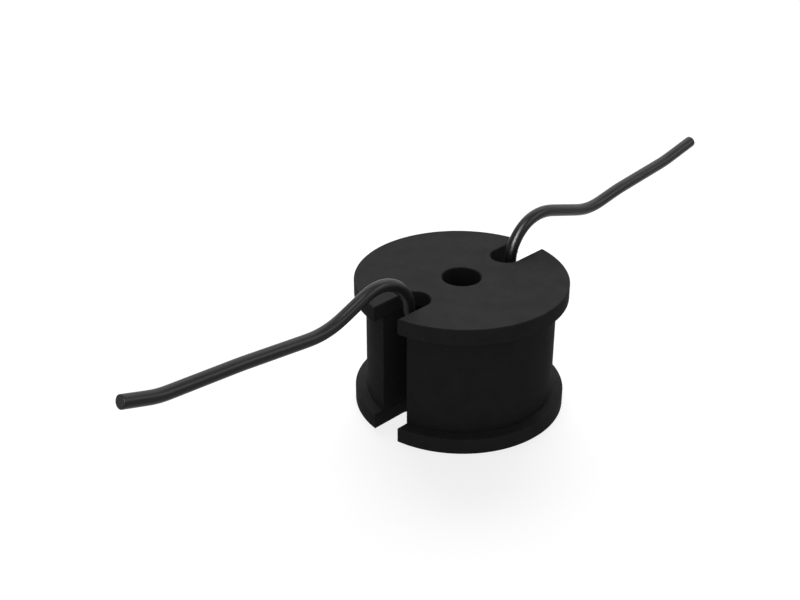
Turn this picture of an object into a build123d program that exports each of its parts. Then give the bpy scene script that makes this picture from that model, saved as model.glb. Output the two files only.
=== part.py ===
from build123d import *
import math
import os

os.makedirs("parts", exist_ok=True)

# Round choke coil in millimetres: a slotted ferrite drum carries a wound coil, two half-ring
# shields close the space around it, and the ends of the wire stand out as formed leads.
# The drum's axis is Z, it stands on Z = 0, and the leads run out along X.

# Ferrite drum
flange_diameter = 27.0
drum_height = 17.5
flange_thickness = 2.1
hub_diameter = 8.6
mounting_hole_diameter = 5.0
slot_width = 4.0
slot_floor_radius = 6.4
edge_break = 0.1

# Half-ring shields
shield_diameter = 24.0
shield_clearance = 0.35

# Wire and winding
wire_diameter = 1.6
turn_gap = 0.02
hub_clearance = 0.1
flange_clearance = 0.2
nesting_angle = 60
outer_layer_drop = 1.5
ridge_inset = 0.07
ridge_flank_angle = 52

# Leads: the wire runs in the plane of its slot, through corners given as distances outwards from the
# rise and heights above the drum. The tip bend is set back from the cut end. Each bend has its radius
lead_span = 100.0
lead_rise_radius = 9.4
start_lead_course = [(0, 0.2), (1.9, 3.6), (5.9, 4.0), (13.3, 1.0), (25.7, 2.3)]
start_lead_tip_bend = (4.4, 3.05)
start_lead_tip_height = 4.4
start_lead_bend_radii = [2.0, 5.3, 4.8, 11.0, 14.0, 8.0]
finish_lead_course = [(0, 0.2), (1.9, 3.6), (6.4, 4.0), (16.3, 0.95), (22.9, 2.0)]
finish_lead_tip_bend = (6.5, 3.0)
finish_lead_tip_height = 4.25
finish_lead_bend_radii = [2.0, 5.3, 8.4, 11.0, 14.0, 14.0]
turnout_step = 0.6
turnout_bend_share = 0.75

# Radii and heights that follow from the driving dimensions
flange_radius = flange_diameter / 2
hub_radius = hub_diameter / 2
mounting_hole_radius = mounting_hole_diameter / 2
slot_floor_centre = slot_floor_radius + slot_width / 2
window_height = drum_height - 2 * flange_thickness
window_top = drum_height - flange_thickness
wire_radius = wire_diameter / 2

# Neighbouring turns lie one pitch apart, and the outer layer's lie in the inner layer's grooves
turn_pitch = wire_diameter + turn_gap
layer_step = turn_pitch * math.sin(math.radians(nesting_angle))
bed_radius = hub_radius + hub_clearance
inner_layer_radius = bed_radius + wire_radius
outer_layer_radius = inner_layer_radius + layer_step
top_turn_height = window_top - flange_clearance - wire_radius
inner_turns = int((top_turn_height - flange_thickness - wire_radius) / turn_pitch) + 1
outer_turns = inner_turns - int(outer_layer_drop) - 1
inner_heights = [top_turn_height - i * turn_pitch for i in range(inner_turns)]
outer_heights = [top_turn_height - (i + outer_layer_drop) * turn_pitch for i in range(outer_turns)]
shield_bore_radius = outer_layer_radius + wire_radius + shield_clearance

# A lead leaves its turn along a tangent and turns outwards at this radius, in the plane of its slot
turnout_radius = outer_layer_radius + turnout_step
turnout_bend = turnout_bend_share * (lead_rise_radius - turnout_radius)


def layer_section(layer_radius, heights):
    """A layer of turns bedded in varnish: one ridge a turn, and solid from there down to the bed."""
    with Locations([(layer_radius, height) for height in heights]):
        Trapezoid(
            turn_pitch,
            wire_radius - ridge_inset,
            ridge_flank_angle,
            rotation=-90,
            align=(Align.CENTER, Align.MIN),
        )
    with Locations((bed_radius, heights[0] + turn_pitch / 2)):
        Rectangle(layer_radius - bed_radius, len(heights) * turn_pitch, align=(Align.MIN, Align.MAX))


def lead_line(layer_radius, turn_height, slot_side, course, tip_bend, tip_height, bend_radii):
    """Centreline of a lead, from the turn that it leaves to its cut end, for the slot at +X or -X."""
    leave_angle = math.acos(layer_radius / turnout_radius)
    corners = [
        (slot_side * layer_radius * math.cos(leave_angle), layer_radius * math.sin(leave_angle), turn_height),
        (slot_side * turnout_radius, 0, turn_height),
        (slot_side * lead_rise_radius, 0, window_top),
    ]
    for outwards, upwards in course:
        corners.append((slot_side * (lead_rise_radius + outwards), 0, drum_height + upwards))
    tip_setback, tip_bend_height = tip_bend
    corners.append((slot_side * (lead_span / 2 - tip_setback), 0, drum_height + tip_bend_height))
    corners.append((slot_side * lead_span / 2, 0, drum_height + tip_height))
    FilletPolyline(*corners, radius=[turnout_bend, turnout_bend, *bend_radii])


# Drum core: one pressed and sintered piece, a hub between two slotted flanges
with BuildPart() as drum_core:
    with BuildSketch(Plane.XZ) as drum_section:
        with BuildLine() as drum_outline:
            Polyline(
                (mounting_hole_radius, 0),
                (flange_radius, 0),
                (flange_radius, flange_thickness),
                (hub_radius, flange_thickness),
                (hub_radius, window_top),
                (flange_radius, window_top),
                (flange_radius, drum_height),
                (mounting_hole_radius, drum_height),
                close=True,
            )
        make_face()
    revolve(axis=Axis.Z)
    with BuildSketch() as lead_slots:
        with Locations((slot_floor_centre, 0)):
            Circle(slot_width / 2)
            Rectangle(flange_radius, slot_width, align=(Align.MIN, Align.CENTER))
        mirror(about=Plane.YZ)
    extrude(amount=drum_height, mode=Mode.SUBTRACT)
    face_edges = drum_core.faces().filter_by(Axis.Z).edges()
    hub_faces = drum_core.faces().filter_by(GeomType.CYLINDER).filter_by(lambda face: face.radius == hub_radius)
    chamfer(face_edges - hub_faces.edges(), length=edge_break)
drum_core.part.label = "drum_core"
export_step(drum_core.part, "parts/drum_core.step")

# Winding: one wire in two layers, with both ends led out through the slots
with BuildPart() as winding:
    with BuildSketch(Plane.XZ) as layers:
        layer_section(inner_layer_radius, inner_heights)
        layer_section(outer_layer_radius, outer_heights)
    revolve(axis=Axis.Z)
    start_lead = (start_lead_course, start_lead_tip_bend, start_lead_tip_height, start_lead_bend_radii)
    finish_lead = (finish_lead_course, finish_lead_tip_bend, finish_lead_tip_height, finish_lead_bend_radii)
    lead_starts = [
        (inner_layer_radius, inner_heights[0], -1, *start_lead),
        (outer_layer_radius, outer_heights[0], 1, *finish_lead),
    ]
    for lead_start in lead_starts:
        with BuildLine() as centreline:
            lead_line(*lead_start)
        with BuildSketch(Plane(centreline.line @ 0, z_dir=centreline.line % 0)):
            Circle(wire_radius)
        sweep()
winding.part.label = "winding"
export_step(winding.part, "parts/winding.step")

# Shield halves: two half rings glued between the flanges, with their ends flush with the slots
with BuildPart() as front_shield_half:
    with BuildSketch(Plane.XY.offset(flange_thickness)) as shield_section:
        Circle(shield_diameter / 2)
        Circle(shield_bore_radius, mode=Mode.SUBTRACT)
        with Locations((0, -slot_width / 2)):
            Rectangle(
                shield_diameter,
                shield_diameter,
                align=(Align.CENTER, Align.MAX),
                mode=Mode.INTERSECT,
            )
    extrude(amount=window_height)
    chamfer(front_shield_half.edges().filter_by(Axis.Z), length=edge_break)
front_shield_half.part.label = "front_shield_half"
export_step(front_shield_half.part, "parts/front_shield_half.step")

with BuildPart() as rear_shield_half:
    add(mirror(front_shield_half.part, about=Plane.XZ, mode=Mode.PRIVATE))
rear_shield_half.part.label = "rear_shield_half"
export_step(rear_shield_half.part, "parts/rear_shield_half.step")
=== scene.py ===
"""Looks of a shielded drum inductor: sintered ferrite, enamelled wire wound in turns, studio and camera."""

import math

import bmesh
import bpy
from mathutils import Matrix, Vector


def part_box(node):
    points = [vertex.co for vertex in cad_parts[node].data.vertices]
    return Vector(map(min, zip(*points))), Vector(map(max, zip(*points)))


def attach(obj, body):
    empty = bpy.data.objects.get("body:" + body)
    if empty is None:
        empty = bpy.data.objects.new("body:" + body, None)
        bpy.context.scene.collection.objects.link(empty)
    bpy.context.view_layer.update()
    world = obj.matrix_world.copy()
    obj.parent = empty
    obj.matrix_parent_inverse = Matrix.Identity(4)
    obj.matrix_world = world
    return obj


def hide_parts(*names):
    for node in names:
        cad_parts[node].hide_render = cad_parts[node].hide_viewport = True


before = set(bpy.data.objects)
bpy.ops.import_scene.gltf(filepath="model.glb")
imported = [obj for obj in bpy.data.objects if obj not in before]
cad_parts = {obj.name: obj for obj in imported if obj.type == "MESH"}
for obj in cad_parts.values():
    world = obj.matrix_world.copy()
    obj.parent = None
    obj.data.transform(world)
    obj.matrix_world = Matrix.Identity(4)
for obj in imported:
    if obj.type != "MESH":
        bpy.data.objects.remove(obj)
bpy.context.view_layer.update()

MM = 0.001

# Camera that fits the photograph: place in metres, degrees round from +X and up, lens in millimetres
CAMERA_PLACE = (-0.10378, -0.092836, 0.08962)
CAMERA_HEADING = 44.989
CAMERA_PITCH = -28.489
CAMERA_LENS = 56.312

# Drum and winding in millimetres, as in the CAD's source. The nesting angle is in degrees, and the outer
# layer's top turn lies its drop below the inner one's, counted in turns
DRUM_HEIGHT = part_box("drum_core")[1].z / MM
FLANGE_THICKNESS = 2.1
HUB_RADIUS = 4.3
WIRE_RADIUS = 0.8
TURN_GAP = 0.02
HUB_CLEARANCE = 0.1
FLANGE_CLEARANCE = 0.2
NESTING_ANGLE = 60
OUTER_LAYER_DROP = 1.5

# Leads in millimetres, as in the CAD's source: each course has distances outwards from the rise and heights
# above the drum, the tip bend is set back from the cut end, and each bend has its radius
LEAD_SPAN = 100.0
RISE_RADIUS = 9.4
TURNOUT_STEP = 0.6
TURNOUT_BEND_SHARE = 0.75
START_COURSE = [(0, 0.2), (1.9, 3.6), (5.9, 4.0), (13.3, 1.0), (25.7, 2.3)]
START_TIP_BEND = (4.4, 3.05)
START_TIP_HEIGHT = 4.4
START_BENDS = [2.0, 5.3, 4.8, 11.0, 14.0, 8.0]
FINISH_COURSE = [(0, 0.2), (1.9, 3.6), (6.4, 4.0), (16.3, 0.95), (22.9, 2.0)]
FINISH_TIP_BEND = (6.5, 3.0)
FINISH_TIP_HEIGHT = 4.25
FINISH_BENDS = [2.0, 5.3, 8.4, 11.0, 14.0, 14.0]

# Radii, heights and turns that follow from them
WINDOW_TOP = DRUM_HEIGHT - FLANGE_THICKNESS
TURN_PITCH = 2 * WIRE_RADIUS + TURN_GAP
LAYER_STEP = TURN_PITCH * math.sin(math.radians(NESTING_ANGLE))
INNER_RADIUS = HUB_RADIUS + HUB_CLEARANCE + WIRE_RADIUS
OUTER_RADIUS = INNER_RADIUS + LAYER_STEP
TURNOUT_RADIUS = OUTER_RADIUS + TURNOUT_STEP
TURNOUT_BEND = TURNOUT_BEND_SHARE * (RISE_RADIUS - TURNOUT_RADIUS)
INNER_TOP = WINDOW_TOP - FLANGE_CLEARANCE - WIRE_RADIUS
OUTER_TOP = INNER_TOP - OUTER_LAYER_DROP * TURN_PITCH
INNER_TURNS = int((INNER_TOP - FLANGE_THICKNESS - WIRE_RADIUS) / TURN_PITCH) + 1
OUTER_TURNS = INNER_TURNS - int(OUTER_LAYER_DROP) - 1

# Where each layer steps from turn to turn, in degrees from +X seen from above: the wire runs clockwise.
# The outer layer is lifted over both steps, because there it crosses the wire below and lies in no groove
INNER_STEP = (-115, -170)
OUTER_STEP = (-20, -70)
CROSSING_LIFT = 2 * WIRE_RADIUS - LAYER_STEP

# Wire mesh in millimetres, with the climb between the layers counted in parts, and its smoothing in points
CLIMB_PARTS = 20
RING_STEP = 0.3
RING_SIDES = 24
SMOOTH_REACH = 3
END_ROUNDING = 0.09
END_ROUNDING_RINGS = 4

# Attribute with the place of each point of the wire: across it in two directions and along it, in metres
COURSE = "course"

# Patterns of the ferrite: cells a metre, the darkest and lightest shade of its tone, the stretch along X, Y
# and Z, and bumps with their strength and their depth in millimetres. A pore fades out over its edge
DRUM_TONE = (0.038, 0.038, 0.038)
SHIELD_TONE = (0.035, 0.035, 0.035)
MOTTLE_CELLS = 420
MOTTLE_SHADES = (0.92, 1.08)
GRAIN_CELLS = 5200
GRAIN_HARSHNESS = 0.65
GRAIN_SHADES = (0.90, 1.10)
GRAIN_BUMP = (0.25, 0.02)
PORE_CELLS = 1900
PORE_EDGE = (0.08, 0.20)
PORE_SHADES = (0.80, 1.0)
PORE_BUMP = (0.35, 0.03)
PRESS_LINE_CELLS = 3800
PRESS_LINE_STRETCH = (1, 1, 0.03)
PRESS_LINE_BUMP = (0.10, 0.02)
POLISH_CELLS = 2600
FERRITE_ROUGHNESS = (0.56, 0.72)
FERRITE_GLOSS = 0.004

# Patterns of the enamel, in the same measures: the die lines are stretched along the wire
WIRE_TONE = (0.031, 0.031, 0.031)
PATCH_CELLS = 240
PATCH_SHADES = (0.88, 1.12)
DIE_LINE_CELLS = 2600
DIE_LINE_STRETCH = (1, 1, 0.04)
DIE_LINE_SHADES = (0.90, 1.10)
DIE_LINE_BUMP = (0.12, 0.01)
ENAMEL_ROUGHNESS = (0.24, 0.30)
ENAMEL_GLOSS = 0.11

# Noise: its detail, how strongly that shows, the range in which most of its values lie, and its full range
COARSE_DETAIL = 2
FINE_DETAIL = 3
NOISE_HARSHNESS = 0.5
NOISE_RANGE = (0.3, 0.7)
FULL_RANGE = (0, 1)

# Lights: a direction is degrees round from +X and up. The key also has the angle that it spans in the sky,
# and each panel has its width and height in metres and its power in watts
KEY_DIRECTION = (45, 30)
KEY_STRENGTH = 2.9
KEY_ANGLE = 60
BACK_PANEL = (42, 50, 0.8, 0.38, 1.45)
SIDE_PANEL = (-12, 26, 0.42, 0.42, 0.42)
RIGHT_PANEL = (-60, 27, 0.48, 0.30, 1.80)
FRONT_PANEL = (209, 36, 0.22, 0.22, 7.2)
MIDDLE_PANEL = (211, 43, 0.26, 0.42, 6.5)
BROAD_PANEL = (218, 44, 0.36, 1.0, 13.2)
PANEL_DISTANCE = 0.6

# World: its level as soft light, and where it is seen or mirrored
FILL_LEVEL = 0.19
WHITE_LEVEL = 1.0

# Floor: how much light it scatters and how strongly it glows, where it is seen and in what it throws back.
# A faint grain shifts the scatter up and down, and the floor reaches some metres out from the drum
FLOOR_SEEN = (0.28, 0.82)
FLOOR_RETURN = (0.12, 0.24)
FLOOR_GRAIN = 0.005
FLOOR_GRAIN_CELLS = 60
FLOOR_REACH = 4.0
FLOOR_SQUARES = 4


def corner_run(corners, bends):
    """Points along straight runs between corners, with an arc of the given radius at each inner corner."""
    points = [Vector(corners[0])]
    for before, corner, after, radius in zip(corners, corners[1:], corners[2:], bends):
        corner = Vector(corner)
        back = (Vector(before) - corner).normalized()
        on = (Vector(after) - corner).normalized()
        half = back.angle(on) / 2
        reach = radius / math.tan(half)
        centre = corner + (back + on).normalized() * (radius / math.sin(half))
        start = corner + back * reach - centre
        sweep = math.pi - 2 * half
        axis = start.cross(corner + on * reach - centre)
        count = max(2, math.ceil(radius * sweep / RING_STEP))
        for i in range(count + 1):
            points.append(centre + Matrix.Rotation(sweep * i / count, 3, axis) @ start)
    points.append(Vector(corners[-1]))
    return points


def lead_run(layer_radius, turn_height, side, course, tip_bend, tip_height, bends):
    """Centreline of a lead, from the turn that it leaves to its cut end, for the slot at +X or -X."""
    leave = math.acos(layer_radius / TURNOUT_RADIUS)
    corners = [
        (side * layer_radius * math.cos(leave), layer_radius * math.sin(leave), turn_height),
        (side * TURNOUT_RADIUS, 0, turn_height),
        (side * RISE_RADIUS, 0, WINDOW_TOP),
    ]
    for outwards, upwards in course:
        corners.append((side * (RISE_RADIUS + outwards), 0, DRUM_HEIGHT + upwards))
    tip_setback, tip_bend_height = tip_bend
    corners.append((side * (LEAD_SPAN / 2 - tip_setback), 0, DRUM_HEIGHT + tip_bend_height))
    corners.append((side * LEAD_SPAN / 2, 0, DRUM_HEIGHT + tip_height))
    return corner_run(corners, [TURNOUT_BEND, TURNOUT_BEND, *bends])


def ease(share):
    """Smooth step from 0 to 1."""
    share = min(1.0, max(0.0, share))
    return share * share * (3 - 2 * share)


def place_on_turn(radius, angle, height):
    """A point at an angle round the drum, in degrees."""
    turned = math.radians(angle)
    return Vector((radius * math.cos(turned), radius * math.sin(turned), height))


def layer_run(radius, start_angle, end_angle, start_height, step_height, zone, lift_zones):
    """Turns from one angle clockwise to another: level, but in the zone each steps to the next one's height.

    They bulge outwards over the lift zones.
    """
    points = []
    count = math.ceil(math.radians(start_angle - end_angle) * radius / RING_STEP)
    steps_before = math.floor((zone[0] - start_angle) / 360)
    for i in range(count + 1):
        angle = start_angle + (end_angle - start_angle) * i / count
        # Steps behind this angle, with the one under way eased in
        passed = (zone[0] - angle) / 360
        steps = math.floor(passed) + ease((passed - math.floor(passed)) * 360 / (zone[0] - zone[1]))
        steps -= steps_before + 1
        lift = 0
        for high, low in lift_zones:
            share = ((high - angle) % 360) / (high - low)
            lift = max(lift, CROSSING_LIFT * math.sin(math.pi * min(1.0, share)))
        points.append(place_on_turn(radius + lift, angle, start_height + step_height * max(0.0, steps)))
    return points


def wire_run():
    """Centreline of the whole wire: start lead, inner layer down, climb, outer layer up, finish lead."""
    inner_leave = 180 - math.degrees(math.acos(INNER_RADIUS / TURNOUT_RADIUS))
    outer_leave = math.degrees(math.acos(OUTER_RADIUS / TURNOUT_RADIUS))
    inner_bottom = INNER_TOP - (INNER_TURNS - 1) * TURN_PITCH
    outer_bottom = OUTER_TOP - (OUTER_TURNS - 1) * TURN_PITCH
    inner_end = INNER_STEP[0] - 360 * (INNER_TURNS - 1)
    climb_end = INNER_STEP[1] - 360 * (INNER_TURNS - 1)
    # Clockwise to where the finish lead leaves, and whole turns from there
    outer_end = climb_end - (climb_end - outer_leave) % 360 - 360 * (OUTER_TURNS - 1)

    inner = layer_run(INNER_RADIUS, inner_leave, inner_end, INNER_TOP, -TURN_PITCH, INNER_STEP, [])
    climb = []
    for i in range(1, CLIMB_PARTS):
        share = i / CLIMB_PARTS
        radius = INNER_RADIUS + LAYER_STEP * ease(share)
        height = inner_bottom + (outer_bottom - inner_bottom) * ease(share)
        climb.append(place_on_turn(radius, inner_end + (climb_end - inner_end) * share, height))
    crossings = [INNER_STEP, OUTER_STEP]
    outer = layer_run(OUTER_RADIUS, climb_end, outer_end, outer_bottom, TURN_PITCH, OUTER_STEP, crossings)

    start_lead = (START_COURSE, START_TIP_BEND, START_TIP_HEIGHT, START_BENDS)
    finish_lead = (FINISH_COURSE, FINISH_TIP_BEND, FINISH_TIP_HEIGHT, FINISH_BENDS)
    start = lead_run(INNER_RADIUS, INNER_TOP, -1, *start_lead)
    finish = lead_run(OUTER_RADIUS, OUTER_TOP, 1, *finish_lead)
    return [*reversed(start), *inner[1:], *climb, *outer[:-1], *finish]


def even_run(points, step):
    """The same line with points an even step apart."""
    lengths = [0.0]
    for a, b in zip(points, points[1:]):
        lengths.append(lengths[-1] + (b - a).length)
    count = round(lengths[-1] / step)
    even = []
    k = 0
    for i in range(count + 1):
        along = lengths[-1] * i / count
        while k < len(points) - 2 and lengths[k + 1] < along:
            k += 1
        span = lengths[k + 1] - lengths[k]
        share = (along - lengths[k]) / span if span > 0 else 0.0
        even.append(points[k].lerp(points[k + 1], share))
    return even


def eased_run(points, reach):
    """The line with each point at the mean of those around it, so that bends begin and end gently."""
    eased = []
    last = len(points) - 1
    for i in range(len(points)):
        near = min(reach, i, last - i)
        total = Vector((0, 0, 0))
        for j in range(i - near, i + near + 1):
            total += points[j]
        eased.append(total / (2 * near + 1))
    return eased


def add_object(name, data):
    """A new object in the scene for a mesh, a light or a camera."""
    thing = bpy.data.objects.new(name, data)
    bpy.context.scene.collection.objects.link(thing)
    return thing


def add_mesh(name, mesh):
    """A new object in the scene from a finished mesh."""
    data = bpy.data.meshes.new(name)
    mesh.to_mesh(data)
    mesh.free()
    return add_object(name, data)


def tube(name, points, radius, sides):
    """A round tube along the points, with its two cut ends closed and their edges rounded a little."""
    mesh = bmesh.new()
    course = mesh.verts.layers.float_vector.new(COURSE)
    ahead = (points[1] - points[0]).normalized()
    across = ahead.orthogonal().normalized()
    along = 0.0
    rings = []

    def ring(centre, size):
        upright = ahead.cross(across)
        made = []
        for k in range(sides):
            turned = 2 * math.pi * k / sides
            offset = across * math.cos(turned) + upright * math.sin(turned)
            vertex = mesh.verts.new((centre + offset * size) * MM)
            vertex[course] = Vector((size * math.cos(turned), size * math.sin(turned), along)) * MM
            made.append(vertex)
        rings.append(made)

    def end_ring(end, inwards, k):
        angle = math.pi / 2 * k / END_ROUNDING_RINGS
        inset = END_ROUNDING * (1 - math.sin(angle))
        ring(end + inwards * END_ROUNDING * (1 - math.cos(angle)), radius - inset)

    for i, point in enumerate(points):
        before = points[max(0, i - 1)]
        after = points[min(len(points) - 1, i + 1)]
        along += (point - before).length
        turned_to = (after - before).normalized()
        across = ahead.rotation_difference(turned_to) @ across
        across = (across - turned_to * across.dot(turned_to)).normalized()
        ahead = turned_to
        if i == 0:
            for k in range(END_ROUNDING_RINGS):
                end_ring(point, ahead, k)
        elif i == len(points) - 1:
            for k in reversed(range(END_ROUNDING_RINGS)):
                end_ring(point, -ahead, k)
        else:
            ring(point, radius)

    for one, two in zip(rings, rings[1:]):
        for k in range(sides):
            mesh.faces.new((one[k], one[(k + 1) % sides], two[(k + 1) % sides], two[k]))
    mesh.faces.new(list(reversed(rings[0])))
    mesh.faces.new(rings[-1])
    bmesh.ops.recalc_face_normals(mesh, faces=mesh.faces)
    # The round sides are shaded smooth, and the cut ends flat
    for face in mesh.faces:
        face.smooth = len(face.verts) < sides
    return add_mesh(name, mesh)


class Nodes:
    """Short calls for the node tree of a material or a world."""

    def __init__(self, owner):
        owner.use_nodes = True
        self.tree = owner.node_tree

    def add(self, kind, values=None, **settings):
        """A new node, with values for its inputs, and its settings by name."""
        node = self.tree.nodes.new(kind)
        for key, value in settings.items():
            setattr(node, key, value)
        for key, value in (values or {}).items():
            node.inputs[key].default_value = value
        return node

    def link(self, source, target):
        self.tree.links.new(source, target)

    def noise(self, cells, detail=COARSE_DETAIL, harshness=NOISE_HARSHNESS, stretch=None, place=None):
        """Noise from 0 to 1, drawn out along an axis where stretch says so."""
        node = self.add("ShaderNodeTexNoise", {"Scale": cells, "Detail": detail, "Roughness": harshness})
        if stretch:
            mapping = self.add("ShaderNodeMapping", {"Scale": stretch})
            self.link(place, mapping.inputs["Vector"])
            place = mapping.outputs["Vector"]
        if place:
            self.link(place, node.inputs["Vector"])
        return node.outputs["Fac"]

    def spread(self, value, result, source=NOISE_RANGE):
        """value over the source range becomes the result range, and stays at its ends beyond."""
        limits = {"From Min": source[0], "From Max": source[1], "To Min": result[0], "To Max": result[1]}
        node = self.add("ShaderNodeMapRange", limits)
        self.link(value, node.inputs["Value"])
        return node.outputs["Result"]

    def join(self, operation, one, two):
        """One value worked out from two, by an operation such as MULTIPLY."""
        node = self.add("ShaderNodeMath", operation=operation)
        self.link(one, node.inputs[0])
        self.link(two, node.inputs[1])
        return node.outputs[0]

    def seen_directly(self):
        """1 for rays from the camera, and for those that gloss or glass sends on, and 0 for soft light."""
        path = self.add("ShaderNodeLightPath")
        glossy = self.join("MAXIMUM", path.outputs["Is Camera Ray"], path.outputs["Is Glossy Ray"])
        return self.join("MAXIMUM", glossy, path.outputs["Is Transmission Ray"])


class Surface(Nodes):
    """Nodes of a new material around its principled shader."""

    def __init__(self, name, gloss):
        self.material = bpy.data.materials.new(name)
        super().__init__(self.material)
        self.shader = self.tree.nodes["Principled BSDF"]
        self.shader.inputs["Specular IOR Level"].default_value = gloss
        self.place = self.add("ShaderNodeTexCoord").outputs["Object"]

    def give(self, socket, source):
        """The shader's socket takes its values from the source."""
        self.link(source, self.shader.inputs[socket])

    def tint(self, value, tone):
        """tone brightened and darkened by value, as a colour."""
        node = self.add("ShaderNodeVectorMath", {0: tone}, operation="SCALE")
        self.link(value, node.inputs["Scale"])
        return node.outputs["Vector"]

    def bump(self, height, amount, below=None):
        """Bumps with a strength and a depth in millimetres, on top of those below."""
        strength, depth = amount
        node = self.add("ShaderNodeBump", {"Strength": strength, "Distance": depth * MM})
        self.link(height, node.inputs["Height"])
        if below:
            self.link(below, node.inputs["Normal"])
        return node.outputs["Normal"]


def ferrite(name, tone):
    """Pressed and sintered ferrite: matt charcoal with a fine grain, small pores and faint press lines."""
    surface = Surface(name, FERRITE_GLOSS)
    place = surface.place
    mottle = surface.noise(MOTTLE_CELLS, FINE_DETAIL, place=place)
    grain = surface.noise(GRAIN_CELLS, FINE_DETAIL, GRAIN_HARSHNESS, place=place)
    polish = surface.noise(POLISH_CELLS, FINE_DETAIL, place=place)
    lines = surface.noise(PRESS_LINE_CELLS, stretch=PRESS_LINE_STRETCH, place=place)
    cells = surface.add("ShaderNodeTexVoronoi", {"Scale": PORE_CELLS})
    surface.link(place, cells.inputs["Vector"])
    pores = surface.spread(cells.outputs["Distance"], PORE_SHADES, PORE_EDGE)

    shades = surface.spread(mottle, MOTTLE_SHADES)
    shades = surface.join("MULTIPLY", shades, surface.spread(grain, GRAIN_SHADES))
    shades = surface.join("MULTIPLY", shades, pores)
    surface.give("Base Color", surface.tint(shades, tone))
    surface.give("Roughness", surface.spread(polish, FERRITE_ROUGHNESS))
    bumps = surface.bump(lines, PRESS_LINE_BUMP)
    bumps = surface.bump(grain, GRAIN_BUMP, bumps)
    surface.give("Normal", surface.bump(pores, PORE_BUMP, bumps))
    return surface.material


def enamel(name, tone):
    """Dark wire enamel: satin, with faint lines from the drawing die along the wire."""
    surface = Surface(name, ENAMEL_GLOSS)
    course = surface.add("ShaderNodeAttribute", attribute_name=COURSE).outputs["Vector"]
    lines = surface.noise(DIE_LINE_CELLS, stretch=DIE_LINE_STRETCH, place=course)
    patches = surface.noise(PATCH_CELLS, FINE_DETAIL, place=surface.place)

    shades = surface.spread(patches, PATCH_SHADES)
    shades = surface.join("MULTIPLY", shades, surface.spread(lines, DIE_LINE_SHADES))
    surface.give("Base Color", surface.tint(shades, tone))
    surface.give("Roughness", surface.spread(lines, ENAMEL_ROUGHNESS))
    surface.give("Normal", surface.bump(lines, DIE_LINE_BUMP))
    return surface.material


def floor_white(name):
    """White where it is seen, with a soft shadow, and dull in the light that it throws back."""
    material = bpy.data.materials.new(name)
    nodes = Nodes(material)
    nodes.tree.nodes.clear()
    grain = nodes.noise(FLOOR_GRAIN_CELLS)
    mix = nodes.add("ShaderNodeMixShader")
    nodes.link(nodes.seen_directly(), mix.inputs[0])
    for socket, (shade, glow) in ((1, FLOOR_RETURN), (2, FLOOR_SEEN)):
        matt = nodes.add("ShaderNodeBsdfDiffuse")
        shades = (shade - FLOOR_GRAIN, shade + FLOOR_GRAIN)
        nodes.link(nodes.spread(grain, shades, FULL_RANGE), matt.inputs["Color"])
        light = nodes.add("ShaderNodeEmission", {"Strength": glow})
        both = nodes.add("ShaderNodeAddShader")
        nodes.link(matt.outputs[0], both.inputs[0])
        nodes.link(light.outputs[0], both.inputs[1])
        nodes.link(both.outputs[0], mix.inputs[socket])
    output = nodes.add("ShaderNodeOutputMaterial")
    nodes.link(mix.outputs[0], output.inputs["Surface"])
    return material


def paint(piece, material):
    """Gives a piece one material."""
    if piece.material_slots:
        for slot in piece.material_slots:
            slot.material = material
    else:
        piece.data.materials.append(material)


def make_floor():
    """A plain floor that the drum stands on."""
    mesh = bmesh.new()
    bmesh.ops.create_grid(mesh, x_segments=FLOOR_SQUARES, y_segments=FLOOR_SQUARES, size=FLOOR_REACH)
    floor = add_mesh("floor", mesh)
    paint(floor, floor_white("floor_white"))


def make_world():
    """White where it is seen or mirrored, and a dull fill in the light that it gives."""
    world = bpy.data.worlds.new("studio")
    bpy.context.scene.world = world
    nodes = Nodes(world)
    background = nodes.tree.nodes["Background"]
    background.inputs["Color"].default_value = (1, 1, 1, 1)
    level = nodes.spread(nodes.seen_directly(), (FILL_LEVEL, WHITE_LEVEL), FULL_RANGE)
    nodes.link(level, background.inputs["Strength"])


def direction(round_z, up):
    """Unit vector at an angle round from +X and an angle up, in degrees."""
    turned = math.radians(round_z)
    raised = math.radians(up)
    flat = math.cos(raised)
    return Vector((math.cos(turned) * flat, math.sin(turned) * flat, math.sin(raised)))


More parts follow.
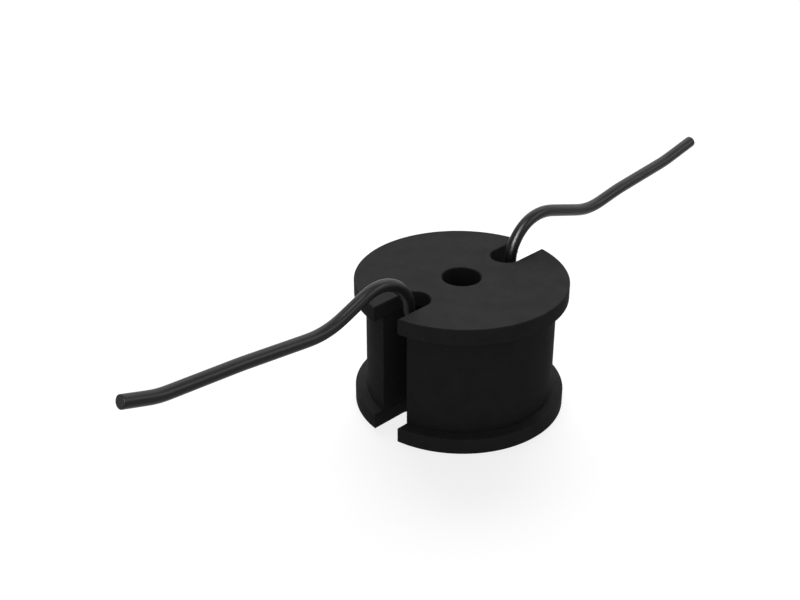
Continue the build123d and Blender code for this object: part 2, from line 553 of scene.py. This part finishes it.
def make_key():
    """A wide soft light from behind the object, that no gloss mirrors."""
    data = bpy.data.lights.new("key", "SUN")
    data.energy = KEY_STRENGTH
    data.angle = math.radians(KEY_ANGLE)
    key = add_object("key", data)
    key.rotation_euler = direction(*KEY_DIRECTION).to_track_quat("Z", "Y").to_euler()
    key.visible_glossy = False


def make_panel(name, layout):
    """A soft panel at a distance from the drum, facing it."""
    round_z, up, width, height, power = layout
    data = bpy.data.lights.new(name, "AREA")
    data.shape = "RECTANGLE"
    data.size = width
    data.size_y = height
    data.energy = power
    panel = add_object(name, data)
    towards = direction(round_z, up)
    panel.location = towards * PANEL_DISTANCE + Vector((0, 0, DRUM_HEIGHT * MM))
    panel.rotation_euler = towards.to_track_quat("Z", "Y").to_euler()
    return panel


def make_lights():
    """The key and the back panel, and five panels that only show as bands of light along the wire."""
    make_key()
    make_panel("back_panel", BACK_PANEL)
    bands = {
        "side_panel": SIDE_PANEL,
        "right_panel": RIGHT_PANEL,
        "front_panel": FRONT_PANEL,
        "middle_panel": MIDDLE_PANEL,
        "broad_panel": BROAD_PANEL,
    }
    for name, layout in bands.items():
        make_panel(name, layout).visible_diffuse = False


def make_camera():
    """The camera that fits the photograph."""
    data = bpy.data.cameras.new("camera")
    data.lens = CAMERA_LENS
    data.clip_start = MM
    camera = add_object("camera", data)
    looking = direction(CAMERA_HEADING, CAMERA_PITCH)
    camera.location = CAMERA_PLACE
    camera.rotation_euler = looking.to_track_quat("-Z", "Y").to_euler()
    bpy.context.scene.camera = camera


def make_wire():
    """The wire from cut end to cut end, in place of the CAD's winding with its turns bedded in varnish."""
    points = eased_run(even_run(wire_run(), RING_STEP), SMOOTH_REACH)
    wire = tube("wire", points, WIRE_RADIUS, RING_SIDES)
    paint(wire, enamel("wire_enamel", WIRE_TONE))
    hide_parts("winding")
    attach(wire, "root")


bpy.context.scene.view_settings.view_transform = "Standard"
make_camera()
make_world()
make_lights()
make_floor()
paint(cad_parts["drum_core"], ferrite("drum_ferrite", DRUM_TONE))
shield_ferrite = ferrite("shield_ferrite", SHIELD_TONE)
for shield_half in ("front_shield_half", "rear_shield_half"):
    paint(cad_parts[shield_half], shield_ferrite)
make_wire()
